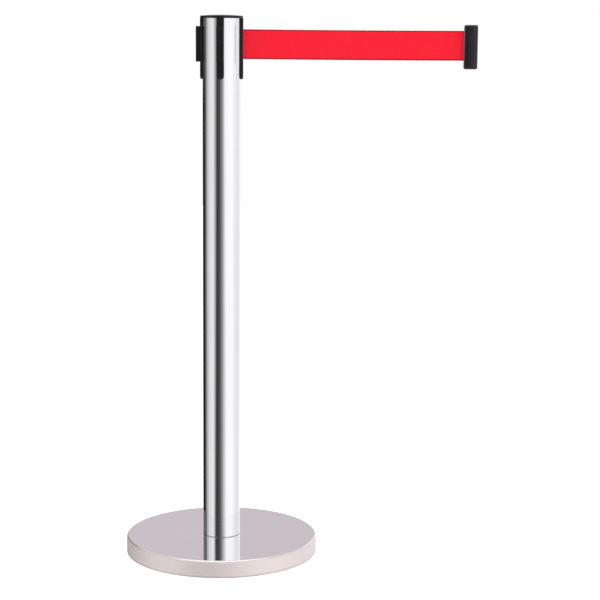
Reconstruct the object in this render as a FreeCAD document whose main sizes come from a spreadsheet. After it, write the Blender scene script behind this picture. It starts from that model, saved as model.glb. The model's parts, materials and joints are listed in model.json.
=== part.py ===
import FreeCAD, Part
import math
import os

import Sketcher

# Retractable belt stanchion: a tube on a weighted round base, with a belt cassette in its head.
# Millimetres. The origin is the centre of the underside, on the floor. +Z is up, and the belt
# pulls out along +X. The belt is drawn out by belt_out, with its clip in free air.

os.makedirs("parts", exist_ok=True)
doc = FreeCAD.newDocument("BeltStanchion")

DIMENSIONS = [
    # whole object
    ("overall_height", 910, "floor to the top of the cap"),
    ("base_od", 325, "base cover, outside"),
    ("base_height", 30, "floor to the flat top of the base cover"),
    ("tube_od", 63, "post tube, outside"),
    ("tube_wall", 1.2, "post tube, wall"),
    ("tube_bevel", 0.4, "post tube, bevel round its lower edge"),
    # base
    ("cover_sheet", 1.2, "base cover, sheet thickness"),
    ("cover_edge", 4.5, "base cover, outside radius of its upper edge"),
    ("cover_lift", 1.5, "base cover, height of its lower edge above the floor"),
    ("hem_width", 1.4, "folded hem of the base cover, added thickness"),
    ("hem_height", 3, "folded hem of the base cover, height"),
    ("hem_round", 0.5, "folded hem of the base cover, rounding of its lower edges"),
    ("weight_gap", 0.4, "base weight to base cover, all round"),
    ("ring_height", 3, "rubber ring, thickness"),
    ("ring_width", 18, "rubber ring, radial width"),
    ("ring_inset", 4, "rubber ring, edge of the weight to its outside"),
    ("bolt_d", 12, "base bolt, shank diameter"),
    ("bolt_entry", 31.3, "base bolt, how far it goes into the tube plug"),
    ("bolt_head_width", 18, "base bolt, across flats"),
    ("bolt_head_height", 7.5, "base bolt, head height"),
    ("bolt_hole_gap", 0.75, "base bolt, radial play in the weight, cover and washers"),
    ("thread_gap", 0.05, "radial play in a tapped hole, modelled without its thread"),
    ("recess_d", 62, "recess under the weight, diameter"),
    ("recess_depth", 13.5, "recess under the weight, depth"),
    ("clamp_washer_d", 48, "clamp washer, diameter"),
    ("clamp_washer_sheet", 3, "clamp washer, thickness"),
    ("lock_washer_d", 21, "lock washer, diameter"),
    ("lock_washer_sheet", 2.2, "lock washer, thickness"),
    ("plug_disc", 12, "tube plug, thickness of its disc"),
    ("plug_boss_d", 28, "tube plug, diameter of its boss"),
    ("plug_boss_rise", 24, "tube plug, height of its boss above the disc"),
    ("weld_gap", 0.05, "tube plug to tube, radial"),
    # head, outside
    ("cap_height", 5.6, "head cap, its underside to its highest point"),
    ("cap_dome", 1.6, "head cap, rise of its dome"),
    ("rib_width", 11.8, "rib, width"),
    ("rib_stand", 4, "rib, how far it stands out of the tube"),
    ("rib_drop", 99.5, "rib, length below the cap"),
    ("rib_round", 0.8, "rib, rounding of its outer edges"),
    ("rib_toe", 3, "rib, rounding of its lower end towards the tube"),
    ("slot_gap", 0.15, "rib to the tube's slot, each side"),
    ("key_shoulder", 2.1, "rib's key inside the tube, added width each side"),
    ("key_depth", 2.3, "rib's key inside the tube, radial thickness"),
    ("key_gap", 0.15, "rib's key to its groove and to the tube"),
    ("rail_length", 58, "receiver rail, length"),
    ("rail_neck_width", 6, "receiver rail, width of its neck"),
    ("rail_neck_depth", 3.6, "receiver rail, from the rib to its bar"),
    ("rail_bar_depth", 3.4, "receiver rail, thickness of its bar"),
    ("rail_round", 0.6, "receiver rail, rounding of its bar"),
    # belt
    ("belt_drop", 42, "middle of the belt below the cap's underside"),
    ("belt_height", 48.5, "belt, width of the webbing"),
    ("belt_sheet", 0.5, "belt, thickness"),
    ("belt_out", 363, "belt showing between the outlet and the clip"),
    ("belt_reach", 2000, "belt showing at full pull"),
    ("belt_spare", 160, "belt that never leaves the spool"),
    ("outlet_gap", 0.9, "belt to the outlet's slot, each side"),
    ("belt_edge_gap", 0.8, "belt's edge to what guides it, each edge"),
    ("guide_d", 2.4, "guide pin, diameter"),
    ("guide_gap", 0.1, "belt to each guide pin"),
    ("guide_inset", 5.5, "outlet's outer face to the guide pins' centres"),
    ("pin_fit", 0.02, "radial play of a pressed pin or bush"),
    # cassette
    ("shell_gap", 0.3, "cassette to the tube, radial"),
    ("shell_wall", 5.1, "cassette shell, wall at its two seats"),
    ("shell_ledge", 0.9, "cassette shell, ledge between seat and spool room"),
    ("seat_gap", 0.1, "lid and barrel to their seats, radial"),
    ("lid_sheet", 3, "cassette lid, thickness"),
    ("lid_gap", 3.1, "upper spool flange to the lid's underside"),
    ("cap_ring", 2.4, "ring under the cap that holds the lid down, radial width"),
    ("floor_sheet", 3, "cassette floor, thickness"),
    ("screw_d", 3, "cassette screws, thread diameter"),
    ("screw_head_d", 5, "cassette screws, head diameter"),
    ("screw_head_height", 2, "cassette screws, head height"),
    ("screw_socket_d", 2.5, "cassette screws, socket across its corners"),
    ("screw_socket_depth", 1, "cassette screws, depth of the socket"),
    ("screw_reach", 14, "cassette screws, length under the head"),
    ("screw_hole_gap", 0.1, "cassette screws, radial play"),
    ("counterbore_depth", 2.6, "cap, depth of the recess over each screw head"),
    # shaft and spool
    ("shaft_d", 8, "spool shaft, diameter"),
    ("shaft_fit", 0.04, "spool shaft, radial play in its bushes"),
    ("collar_d", 13, "spool shaft, collar diameter"),
    ("collar_height", 1.5, "spool shaft, collar thickness"),
    ("thrust_gap", 0.15, "axial play at each end of the shaft"),
    ("ring_groove", 0.6, "spool shaft, depth of the groove for its ring"),
    ("ring_sheet", 0.8, "retaining ring, thickness"),
    ("ring_d", 12.5, "retaining ring, outside diameter"),
    ("ring_fit", 0.05, "retaining ring to its groove"),
    ("bush_d", 12, "bush, outside diameter"),
    ("bush_flange_d", 16, "bush, flange diameter"),
    ("bush_flange", 1, "bush, flange thickness"),
    ("flange_sheet", 1.6, "spool flange, thickness"),
    ("flange_gap", 0.8, "spool flange to the spool room, radial"),
    ("roll_margin", 1.1, "full roll to the edge of the flanges"),
    ("roll_gap", 0.1, "belt roll to the hub, radial"),
    ("spigot_step", 2.5, "step in the hub that seats the upper flange"),
    ("cross_pin_d", 2.5, "cross pin, diameter"),
    ("cross_pin_reach", 18, "cross pin, length"),
    ("cross_pin_rise", 5, "cross pin above the spool's underside"),
    # spring
    ("barrel_wall", 1.8, "spring barrel, wall"),
    ("barrel_floor", 2, "spring barrel, floor"),
    ("barrel_lid_sheet", 2, "spring barrel, lid thickness"),
    ("barrel_gap", 1.6, "barrel lid to the spool's underside"),
    ("spring_sheet", 0.5, "power spring, strip thickness"),
    ("spring_turns", 9, "power spring, turns"),
    ("spring_side_gap", 1.5, "power spring to the barrel's floor and lid"),
    ("spring_start", 5.2, "power spring, inner radius"),
    ("coil_gap", 0.7, "power spring's outer end to the barrel, radial"),
    ("anchor_d", 2, "spring anchor pin, diameter"),
    # clip
    ("clip_length", 22, "clip, along the belt"),
    ("clip_wall", 2.9, "clip, wall beside its channel, at the corners"),
    ("clip_bulge", 1, "clip, how far each broad face bows out"),
    ("clip_over", 9.7, "clip, height above the belt's upper edge"),
    ("clip_under", 13.8, "clip, height below the belt's lower edge"),
    ("clip_corner", 2.2, "clip, rounding of its upright edges"),
    ("clip_bevel", 2, "clip, bevel round its top and bottom"),
    ("clip_roof", 4, "clip, thickness above its channel"),
    ("clip_lip", 3, "clip, thickness of the lips of its channel"),
    ("rail_side_gap", 0.45, "clip channel to a rail, each side"),
    ("rail_depth_gap", 1, "clip channel, depth beyond the rail's bar"),
    ("belt_pin_d", 4, "belt pin, diameter"),
    ("belt_pin_inset", 6.2, "clip's near face to the belt pin's centre"),
    ("loop_gap", 0.05, "belt loop to its pin, radial"),
    ("bore_gap", 0.35, "belt loop to the bore in the clip, radial"),
    ("clip_plug_height", 12, "plug under the belt pin, height"),
    ("mouth_gap", 0.5, "belt to the slot in the clip, each side"),
]

sheet = doc.addObject("Spreadsheet::Sheet", "Dim")
for row, (alias, value, meaning) in enumerate(DIMENSIONS, start=1):
    sheet.set("A%d" % row, alias)
    sheet.set("B%d" % row, str(value))
    sheet.set("C%d" % row, meaning)
    sheet.setAlias("B%d" % row, alias)
doc.recompute()

# How close two lengths are to count as the same.
NEAR = 1e-6

# Radii and levels that several pieces share, as expressions of the sheet.
TUBE_R = "(Dim.tube_od / 2)"
BORE_R = "(Dim.tube_od / 2 - Dim.tube_wall)"
BASE_R = "(Dim.base_od / 2)"
COVER_INSIDE_Z = "(Dim.base_height - Dim.cover_sheet)"
WEIGHT_R = "(%s - Dim.cover_sheet - Dim.hem_width - Dim.weight_gap)" % BASE_R
WEIGHT_TOP = "(%s - Dim.weight_gap)" % COVER_INSIDE_Z
RECESS_TOP = "(Dim.ring_height + Dim.recess_depth)"
BOLT_SEAT = "(%s - Dim.clamp_washer_sheet - Dim.lock_washer_sheet)" % RECESS_TOP
BOLT_HOLE_R = "(Dim.bolt_d / 2 + Dim.bolt_hole_gap)"

CAP_SEAT = "(Dim.overall_height - Dim.cap_height)"
RIB_END = "(%s - Dim.rib_drop)" % CAP_SEAT
RIB_FACE = "(%s + Dim.rib_stand)" % TUBE_R
CAP_R = RIB_FACE
KEY_HALF = "(Dim.rib_width / 2 + Dim.key_shoulder)"
KEY_OUT = "(sqrt(%s ^ 2 - %s ^ 2) - Dim.key_gap)" % (BORE_R, KEY_HALF)
KEY_IN = "(%s - Dim.key_depth)" % KEY_OUT

SHELL_R = "(%s - Dim.shell_gap)" % BORE_R
SEAT_R = "(%s - Dim.shell_wall)" % SHELL_R
ROOM_R = "(%s - Dim.shell_ledge)" % SEAT_R
# The belt crosses the shell at a slant, so its window grows with the spool room.
WINDOW_HALF = "(%s / 3)" % ROOM_R
SCREW_CIRCLE = "((%s + %s) / 2)" % (SHELL_R, SEAT_R)

BELT_Z = "(%s - Dim.belt_drop)" % CAP_SEAT
BELT_TOP = "(%s + Dim.belt_height / 2)" % BELT_Z
BELT_BOTTOM = "(%s - Dim.belt_height / 2)" % BELT_Z
GUIDED_TOP = "(%s + Dim.belt_edge_gap)" % BELT_TOP
GUIDED_BOTTOM = "(%s - Dim.belt_edge_gap)" % BELT_BOTTOM
GUIDED_HEIGHT = "(Dim.belt_height + 2 * Dim.belt_edge_gap)"
LID_SEAT = "(%s + Dim.flange_sheet + Dim.lid_gap)" % GUIDED_TOP
LID_TOP = "(%s + Dim.lid_sheet)" % LID_SEAT
SPOOL_BOTTOM = "(%s - Dim.flange_sheet)" % GUIDED_BOTTOM
BARREL_TOP = "(%s - Dim.barrel_gap)" % SPOOL_BOTTOM
BARREL_RIM = "(%s - Dim.barrel_lid_sheet)" % BARREL_TOP
BARREL_INSIDE_Z = "(%s + Dim.barrel_floor)" % RIB_END
BARREL_R = "(%s - Dim.seat_gap)" % SEAT_R
SPRING_ROOM_R = "(%s - Dim.barrel_wall)" % BARREL_R
EYE_R = "(Dim.anchor_d / 2 + Dim.pin_fit + Dim.spring_sheet)"
ANCHOR_X = "(%s - Dim.coil_gap - %s)" % (SPRING_ROOM_R, EYE_R)
# The middle of the strip starts half a thickness out from spring_start and ends at the anchor.
SPRING_PITCH = "(%s - Dim.spring_start - Dim.spring_sheet / 2) / Dim.spring_turns" % ANCHOR_X

SHAFT_R = "(Dim.shaft_d / 2)"
FLANGE_R = "(%s - Dim.flange_gap)" % ROOM_R
FULL_ROLL_R = "(%s - Dim.roll_margin)" % FLANGE_R
BELT_TOTAL = "(Dim.belt_reach + Dim.belt_spare)"
# The hub takes what the full roll leaves: the roll's area is the belt's length times its thickness.
HUB_R = "sqrt(%s ^ 2 - %s * Dim.belt_sheet / pi)" % (FULL_ROLL_R, BELT_TOTAL)
BELT_WOUND = "(%s - Dim.belt_out)" % BELT_TOTAL
ROLL_R = "sqrt((%s) ^ 2 + %s * Dim.belt_sheet / pi)" % (HUB_R, BELT_WOUND)

GUIDE_X = "(%s - Dim.guide_inset)" % RIB_FACE
GUIDE_Y = "(Dim.guide_d / 2 + Dim.guide_gap + Dim.belt_sheet / 2)"

CLIP_NEAR = "(%s + Dim.belt_out)" % RIB_FACE
CLIP_FAR = "(%s + Dim.clip_length)" % CLIP_NEAR
CLIP_BOTTOM = "(%s - Dim.clip_under)" % BELT_BOTTOM
CLIP_TOP = "(%s + Dim.clip_over)" % BELT_TOP
PIN_X = "(%s + Dim.belt_pin_inset)" % CLIP_NEAR
LOOP_OUT_R = "(Dim.belt_pin_d / 2 + Dim.loop_gap + Dim.belt_sheet)"
CLIP_BORE_R = "(%s + Dim.bore_gap)" % LOOP_OUT_R


def size(expression):
    """The value of an expression of the sheet, as a plain number."""
    result = sheet.evalExpression(expression)
    return float(getattr(result, "Value", result))


def bind(thing, **expressions):
    """Tie properties of a document object to expressions of the sheet."""
    for name, expression in expressions.items():
        thing.setExpression(name, expression)


def place(thing, x="0", y="0", z="0"):
    """Tie the position of a document object to expressions of the sheet."""
    for axis, expression in (("x", x), ("y", y), ("z", z)):
        thing.setExpression("Placement.Base." + axis, expression)


# PartDesign helpers

HALF_ROUND = "half round"


def new_body(label):
    """An empty body whose label becomes the node's name."""
    body = doc.addObject("PartDesign::Body", label)
    body.Label = label
    return body


def new_sketch(body, name, plane, offset="0"):
    """A sketch on one of the body's origin planes, shifted along the plane's normal."""
    sketch = body.newObject("Sketcher::SketchObject", name)
    support = next(item for item in body.Origin.OriginFeatures if item.Role == plane)
    sketch.AttachmentSupport = (support, [""])
    sketch.MapMode = "FlatFace"
    sketch.setExpression("AttachmentOffset.Base.z", offset)
    return sketch


def constrain(sketch, kind, references, expression):
    """Add a dimension and tie it to an expression of the sheet."""
    index = sketch.addConstraint(Sketcher.Constraint(kind, *references, size(expression)))
    sketch.setExpression("Constraints[%d]" % index, expression)


def locate(sketch, edge, point, x, y):
    """Tie one point of an edge to its distances from the sketch's origin."""
    constrain(sketch, "DistanceX", (-1, 1, edge, point), x)
    constrain(sketch, "DistanceY", (-1, 1, edge, point), y)


def draw_circle(sketch, radius, x="0", y="0"):
    """A circle with its radius and centre tied to the sheet."""
    centre = FreeCAD.Vector(size(x), size(y), 0)
    edge = sketch.addGeometry(Part.Circle(centre, FreeCAD.Vector(0, 0, 1), size(radius)))
    constrain(sketch, "Radius", (edge,), radius)
    locate(sketch, edge, 3, x, y)


def arc_between(start, end, radius):
    """A minor arc that bulges to the right of the way from start to end, or to the left if the
    radius is negative. Sketcher's arcs run anticlockwise, so the second is drawn end to start.
    """
    half = (end - start) * 0.5
    left = FreeCAD.Vector(-half.y, half.x, 0).normalize()
    rise = math.sqrt(max(radius ** 2 - half.Length ** 2, 0))
    centre = start + half + left * math.copysign(rise, radius)
    angles = [math.atan2(point.y - centre.y, point.x - centre.x) for point in (start, end)]
    if radius < 0:
        angles.reverse()
    circle = Part.Circle(centre, FreeCAD.Vector(0, 0, 1), abs(radius))
    return Part.ArcOfCircle(circle, *angles)


def draw_outline(sketch, corners):
    """A closed outline. A corner is (x, y), or (x, y, radius) where an arc leads to it.

    HALF_ROUND in place of the radius is a half circle on a level chord.
    """
    points = [FreeCAD.Vector(size(corner[0]), size(corner[1]), 0) for corner in corners]
    edges = []
    for index, corner in enumerate(corners):
        start = points[index - 1]
        if len(corner) == 3:
            half_round = corner[2] == HALF_ROUND
            chord = points[index].distanceToPoint(start)
            radius = chord / 2 if half_round else size(corner[2])
            edge = sketch.addGeometry(arc_between(start, points[index], radius))
            edges.append((edge, 1, 2) if radius > 0 else (edge, 2, 1))
        else:
            edges.append((sketch.addGeometry(Part.LineSegment(start, points[index])), 1, 2))
    for index, corner in enumerate(corners):
        edge, _, last = edges[index]
        following, joint, _ = edges[(index + 1) % len(edges)]
        sketch.addConstraint(Sketcher.Constraint("Coincident", edge, last, following, joint))
        locate(sketch, edge, last, corner[0], corner[1])
        if len(corner) == 3 and corner[2] == HALF_ROUND:
            constrain(sketch, "DistanceY", (-1, 1, edge, 3), corner[1])
        elif len(corner) == 3:
            constrain(sketch, "Radius", (edge,), "abs(%s)" % corner[2])


def pad(body, name, sketch, length, both_ways=False):
    """Pad a sketch along its plane's normal, or evenly to both sides of the plane."""
    feature = body.newObject("PartDesign::Pad", name)
    feature.Profile = sketch
    if both_ways:
        feature.SideType = "Symmetric"
    feature.setExpression("Length", length)
    doc.recompute()
    return feature


def cut(body, name, sketch, length, backwards=False, both_ways=False):
    """Pocket a sketch for a stated length, and make sure that it takes material away."""
    before = body.Shape.Volume
    feature = body.newObject("PartDesign::Pocket", name)
    feature.Profile = sketch
    feature.Reversed = backwards
    if both_ways:
        feature.SideType = "Symmetric"
    feature.setExpression("Length", length)
    doc.recompute()
    if not feature.Shape.Volume < before:
        raise RuntimeError(name + " takes nothing away")
    return feature


def revolve(body, name, sketch):
    """Turn a sketch on the XZ plane round the Z axis."""
    feature = body.newObject("PartDesign::Revolution", name)
    feature.Profile = sketch
    feature.ReferenceAxis = (sketch, ["V_Axis"])
    feature.Angle = 360
    doc.recompute()
    return feature


def repeat_round(body, name, feature, count):
    """Repeat a feature evenly round the Z axis."""
    pattern = body.newObject("PartDesign::PolarPattern", name)
    pattern.Originals = [feature]
    axis = next(item for item in body.Origin.OriginFeatures if item.Role == "Z_Axis")
    pattern.Axis = (axis, [""])
    pattern.Angle = 360
    pattern.Occurrences = count
    body.Tip = pattern
    doc.recompute()
    return pattern


def edges_where(feature, test):
    """The names of the edges whose bounding box passes a test."""
    return [
        "Edge%d" % number
        for number, edge in enumerate(feature.Shape.Edges, start=1)
        if test(edge.BoundBox)
    ]


def round_edges(body, name, feature, edges, radius, kind="Fillet"):
    """Fillet or bevel the named edges of a feature."""
    if not edges:
        raise RuntimeError(name + " found no edge")
    rounding = body.newObject("PartDesign::" + kind, name)
    rounding.Base = (feature, edges)
    rounding.setExpression("Radius" if kind == "Fillet" else "Size", radius)
    doc.recompute()
    return rounding


# Part helpers


def cylinder(name, radius, height, x="0", y="0", z="0"):
    """An upright cylinder."""
    solid = doc.addObject("Part::Cylinder", name)
    bind(solid, Radius=radius, Height=height)
    place(solid, x, y, z)
    return solid


def fuse(label, *solids):
    """One solid out of several."""
    joined = doc.addObject("Part::MultiFuse", label)
    joined.Shapes = list(solids)
    joined.Refine = True
    joined.Label = label
    return joined


def subtract(label, base, tool):
    """A solid with another taken away."""
    remainder = doc.addObject("Part::Cut", label)
    remainder.Base = base
    remainder.Tool = tool
    remainder.Label = label
    return remainder


def washer(label, outer, inner, thickness, z):
    """A flat ring round the Z axis."""
    disc = cylinder(label + "_disc", outer, thickness, z=z)
    hole = cylinder(label + "_hole", inner, thickness, z=z)
    return subtract(label, disc, hole)


def group(label, solids):
    """Separate solids that share one node."""
    together = doc.addObject("Part::Compound", label)
    together.Links = solids
    together.Label = label
    return together


def screw_places():
    """The four screw positions, midway between the ribs, as pairs of expressions."""
    for turn in range(4):
        angle = "%d deg" % (45 + 90 * turn)
        yield (
            "%s * cos(%s)" % (SCREW_CIRCLE, angle),
            "%s * sin(%s)" % (SCREW_CIRCLE, angle),
        )


# Base


def make_base_cover():
    """Spun stainless cover: a flat top, a rounded edge, a skirt and a hem folded inwards."""
    body = new_body("base_cover")
    sketch = new_sketch(body, "cover_profile", "XZ_Plane")
    inside_r = "(%s - Dim.cover_sheet)" % BASE_R
    hem_r = "(%s - Dim.hem_width)" % inside_r
    hem_top = "(Dim.cover_lift + Dim.hem_height)"
    draw_outline(sketch, [
        (BOLT_HOLE_R, "Dim.base_height"),
        (BOLT_HOLE_R, COVER_INSIDE_Z),
        ("%s - Dim.cover_edge" % BASE_R, COVER_INSIDE_Z),
        (inside_r, "Dim.base_height - Dim.cover_edge", "Dim.cover_sheet - Dim.cover_edge"),
        (inside_r, hem_top),
        (hem_r, hem_top),
        (hem_r, "Dim.cover_lift"),
        (BASE_R, "Dim.cover_lift"),
        (BASE_R, "Dim.base_height - Dim.cover_edge"),
        ("%s - Dim.cover_edge" % BASE_R, "Dim.base_height", "Dim.cover_edge"),
    ])
    turned = revolve(body, "cover_turned", sketch)
    foot = edges_where(
        turned,
        lambda box: box.ZLength < NEAR
        and abs(box.ZMin - size("Dim.cover_lift")) < NEAR
    )
    round_edges(body, "cover_foot", turned, foot, "Dim.hem_round")
    return body


def make_base_weight():
    """Cast weight that fills the cover, with a recess below for the bolt's head."""
    body = new_body("base_weight")
    sketch = new_sketch(body, "weight_profile", "XZ_Plane")
    draw_outline(sketch, [
        (BOLT_HOLE_R, RECESS_TOP),
        ("Dim.recess_d / 2", RECESS_TOP),
        ("Dim.recess_d / 2", "Dim.ring_height"),
        (WEIGHT_R, "Dim.ring_height"),
        (WEIGHT_R, "%s - Dim.cover_edge" % WEIGHT_TOP),
        ("%s - Dim.cover_edge" % WEIGHT_R, WEIGHT_TOP, "Dim.cover_edge"),
        (BOLT_HOLE_R, WEIGHT_TOP),
    ])
    revolve(body, "weight_turned", sketch)
    return body


def make_floor_ring():
    """Rubber ring between the weight and the floor."""
    outer = "(%s - Dim.ring_inset)" % WEIGHT_R
    return washer("floor_ring", outer, "%s - Dim.ring_width" % outer, "Dim.ring_height", "0")


def make_base_bolt():
    """Hexagon bolt up through the base into the tube plug."""
    head = doc.addObject("Part::Prism", "bolt_head")
    head.Polygon = 6
    bind(head, Circumradius="Dim.bolt_head_width / sqrt(3)", Height="Dim.bolt_head_height")
    place(head, z="%s - Dim.bolt_head_height" % BOLT_SEAT)
    reach = "Dim.base_height + Dim.bolt_entry - %s" % BOLT_SEAT
    shank = cylinder("bolt_shank", "Dim.bolt_d / 2", reach, z=BOLT_SEAT)
    return fuse("base_bolt", head, shank)


def make_tube_plug():
    """Turned plug welded into the tube's lower end, tapped for the base bolt."""
    body = new_body("tube_plug")
    sketch = new_sketch(body, "plug_profile", "XZ_Plane")
    tapped_r = "(Dim.bolt_d / 2 + Dim.thread_gap)"
    plug_r = "(%s - Dim.weld_gap)" % BORE_R
    disc_top = "(Dim.base_height + Dim.plug_disc)"
    boss_top = "(%s + Dim.plug_boss_rise)" % disc_top
    draw_outline(sketch, [
        (tapped_r, "Dim.base_height"),
        (plug_r, "Dim.base_height"),
        (plug_r, disc_top),
        ("Dim.plug_boss_d / 2", disc_top),
        ("Dim.plug_boss_d / 2", boss_top),
        (tapped_r, boss_top),
    ])
    revolve(body, "plug_turned", sketch)
    return body


# Post


def make_post_tube():
    """Stainless tube with four slots, open at the top, for the ribs of the head."""
    body = new_body("post_tube")
    ring = new_sketch(body, "tube_section", "XY_Plane", "Dim.base_height")
    draw_circle(ring, TUBE_R)
    draw_circle(ring, BORE_R)
    plain = pad(body, "tube_length", ring, "%s - Dim.base_height" % CAP_SEAT)
    foot = size("Dim.base_height")
    radius = size(TUBE_R)
    edges = edges_where(plain, lambda box: box.ZMax < foot + NEAR and box.XMax > radius - NEAR)
    round_edges(body, "tube_foot_bevel", plain, edges, "Dim.tube_bevel", "Chamfer")
    slot = new_sketch(body, "slot_outline", "YZ_Plane")
    draw_rib_outline(slot, "(Dim.rib_width / 2 + Dim.slot_gap)", CAP_SEAT)
    opening = cut(body, "slot", slot, "Dim.tube_od", backwards=True)
    repeat_round(body, "slots", opening, 4)
    return body


def draw_upright(sketch, half_width, bottom, top):
    """A rectangle centred on the sketch's upright axis."""
    left = "-" + half_width
    draw_outline(sketch, [(left, top), (left, bottom), (half_width, bottom), (half_width, top)])


def draw_rib_outline(sketch, half_width, top):
    """A strip with a half-round lower end that grows with the strip's half width."""
    round_z = "(%s + Dim.rib_width / 2)" % RIB_END
    draw_outline(sketch, [
        ("-%s" % half_width, top),
        ("-%s" % half_width, round_z),
        (half_width, round_z, HALF_ROUND),
        (half_width, top),
    ])


# Head


def make_rib(label, angle):
    """A rib that slides into the head from above: a face outside the tube, a key inside it."""
    body = new_body(label)
    face = new_sketch(body, label + "_face", "YZ_Plane", KEY_OUT)
    draw_rib_outline(face, "(Dim.rib_width / 2)", CAP_SEAT)
    strip = pad(body, label + "_strip", face, "%s - %s" % (RIB_FACE, KEY_OUT))
    outer = size(RIB_FACE)
    edges = edges_where(strip, lambda box: box.XMin > outer - NEAR and box.ZLength > NEAR)
    round_edges(body, label + "_softened", strip, edges, "Dim.rib_round")
    corner = new_sketch(body, label + "_toe", "XZ_Plane")
    past_face = "(%s + Dim.rib_stand)" % RIB_FACE
    below = "(%s - Dim.rib_stand)" % RIB_END
    draw_outline(corner, [
        (past_face, below),
        (past_face, "%s + Dim.rib_toe" % RIB_END),
        (RIB_FACE, "%s + Dim.rib_toe" % RIB_END),
        ("%s - Dim.rib_toe" % RIB_FACE, RIB_END, "-Dim.rib_toe"),
        ("%s - Dim.rib_toe" % RIB_FACE, below),
    ])
    cut(body, label + "_toe_cut", corner, "2 * Dim.rib_width", both_ways=True)
    key = new_sketch(body, label + "_key", "YZ_Plane", KEY_IN)
    draw_upright(key, KEY_HALF, RIB_END, CAP_SEAT)
    pad(body, label + "_key_pad", key, "Dim.key_depth")
    body.Placement.Rotation = FreeCAD.Rotation(FreeCAD.Vector(0, 0, 1), angle)
    return body


def make_receiver(label, angle):
    """A rib with the T rail that takes another post's clip."""
    body = make_rib(label, angle)
    section = new_sketch(body, label + "_rail", "XY_Plane", "%s - Dim.rail_length / 2" % BELT_Z)
    neck = "(%s + Dim.rail_neck_depth)" % RIB_FACE
    front = "(%s + Dim.rail_bar_depth)" % neck
    root = "(%s - Dim.rib_round)" % RIB_FACE
    draw_outline(section, [
        (root, "-Dim.rail_neck_width / 2"),
        (neck, "-Dim.rail_neck_width / 2"),
        (neck, "-Dim.rib_width / 2"),
        (front, "-Dim.rib_width / 2"),
        (front, "Dim.rib_width / 2"),
        (neck, "Dim.rib_width / 2"),
        (neck, "Dim.rail_neck_width / 2"),
        (root, "Dim.rail_neck_width / 2"),
    ])
    rail = pad(body, label + "_rail_pad", section, "Dim.rail_length")
    outer = size(front)
    edges = edges_where(rail, lambda box: box.XMin > outer - NEAR)
    round_edges(body, label + "_rail_softened", rail, edges, "Dim.rail_round")
    return body


def make_belt_outlet():
    """The rib that the belt comes out of: a slot, a flared mouth inside and two pin holes."""
    body = make_rib("belt_outlet", 0)
    slot_half = "(Dim.belt_sheet / 2 + Dim.outlet_gap)"
    slot = new_sketch(body, "outlet_slot", "XZ_Plane")
    past_key = "(%s - Dim.key_depth)" % KEY_IN
    past_face = "(%s + Dim.rib_stand)" % RIB_FACE
    draw_outline(slot, [
        (past_key, GUIDED_BOTTOM),
        (past_face, GUIDED_BOTTOM),
        (past_face, GUIDED_TOP),
        (past_key, GUIDED_TOP),
    ])
    cut(body, "outlet_slot_cut", slot, "2 * %s" % slot_half, both_ways=True)
    flare = new_sketch(body, "outlet_flare", "XY_Plane", GUIDED_BOTTOM)
    flare_out = "(%s - Dim.guide_d / 2)" % GUIDE_X
    flare_half = "(%s + Dim.guide_d / 2)" % GUIDE_Y
    wide_half = "(%s + %s - %s)" % (flare_half, flare_out, KEY_IN)
    draw_outline(flare, [
        (KEY_IN, "-%s" % wide_half),
        (flare_out, "-%s" % flare_half),
        (flare_out, flare_half),
        (KEY_IN, wide_half),
    ])
    cut(body, "outlet_flare_cut", flare, GUIDED_HEIGHT, backwards=True)
    holes = new_sketch(body, "outlet_pin_holes", "XY_Plane", GUIDED_BOTTOM + " - Dim.guide_d")
    for side in ("", "-"):
        draw_circle(holes, "Dim.guide_d / 2 + Dim.pin_fit", GUIDE_X, side + GUIDE_Y)
    cut(body, "outlet_pin_holes_cut", holes, GUIDED_HEIGHT + " + 2 * Dim.guide_d",
        backwards=True)
    return body


def make_guide_pins():
    """Two steel pins that the belt runs between, pressed into the outlet."""
    low = GUIDED_BOTTOM + " - Dim.guide_d"
    reach = GUIDED_HEIGHT + " + 2 * Dim.guide_d"
    pins = [
        cylinder("guide_pin_" + name, "Dim.guide_d / 2", reach, GUIDE_X, side + GUIDE_Y, low)
        for name, side in (("back", ""), ("front", "-"))
    ]
    return group("guide_pins", pins)


def make_cassette_shell():
    """Round housing with seats above and below the spool room and a groove for each key."""
    body = new_body("cassette_shell")
    sketch = new_sketch(body, "shell_profile", "XZ_Plane")
    draw_outline(sketch, [
        (SEAT_R, RIB_END),
        (SHELL_R, RIB_END),
        (SHELL_R, CAP_SEAT),
        (SEAT_R, CAP_SEAT),
        (SEAT_R, LID_SEAT),
        (ROOM_R, LID_SEAT),
        (ROOM_R, BARREL_TOP),
        (SEAT_R, BARREL_TOP),
    ])
    revolve(body, "shell_turned", sketch)
    groove = new_sketch(body, "groove_outline", "YZ_Plane", "%s - Dim.key_gap" % KEY_IN)
    draw_upright(groove, "(%s + Dim.key_gap)" % KEY_HALF, RIB_END, CAP_SEAT)
    first = cut(body, "groove", groove, "%s - %s + Dim.key_gap" % (SHELL_R, KEY_IN),
                backwards=True)
    repeat_round(body, "grooves", first, 4)
    window = new_sketch(body, "window_outline", "YZ_Plane", ROOM_R + " - Dim.shell_wall")
    draw_upright(window, WINDOW_HALF, GUIDED_BOTTOM, GUIDED_TOP)
    cut(body, "window", window, "2 * Dim.shell_wall", backwards=True)
    for name, start in (("lower", RIB_END), ("upper", "(%s - Dim.screw_reach)" % CAP_SEAT)):
        holes = new_sketch(body, "shell_holes_" + name, "XY_Plane", start)
        for x, y in screw_places():
            draw_circle(holes, "Dim.screw_d / 2 + Dim.thread_gap", x, y)
        cut(body, "shell_holes_%s_cut" % name, holes, "Dim.screw_reach", backwards=True)
    return body


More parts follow.
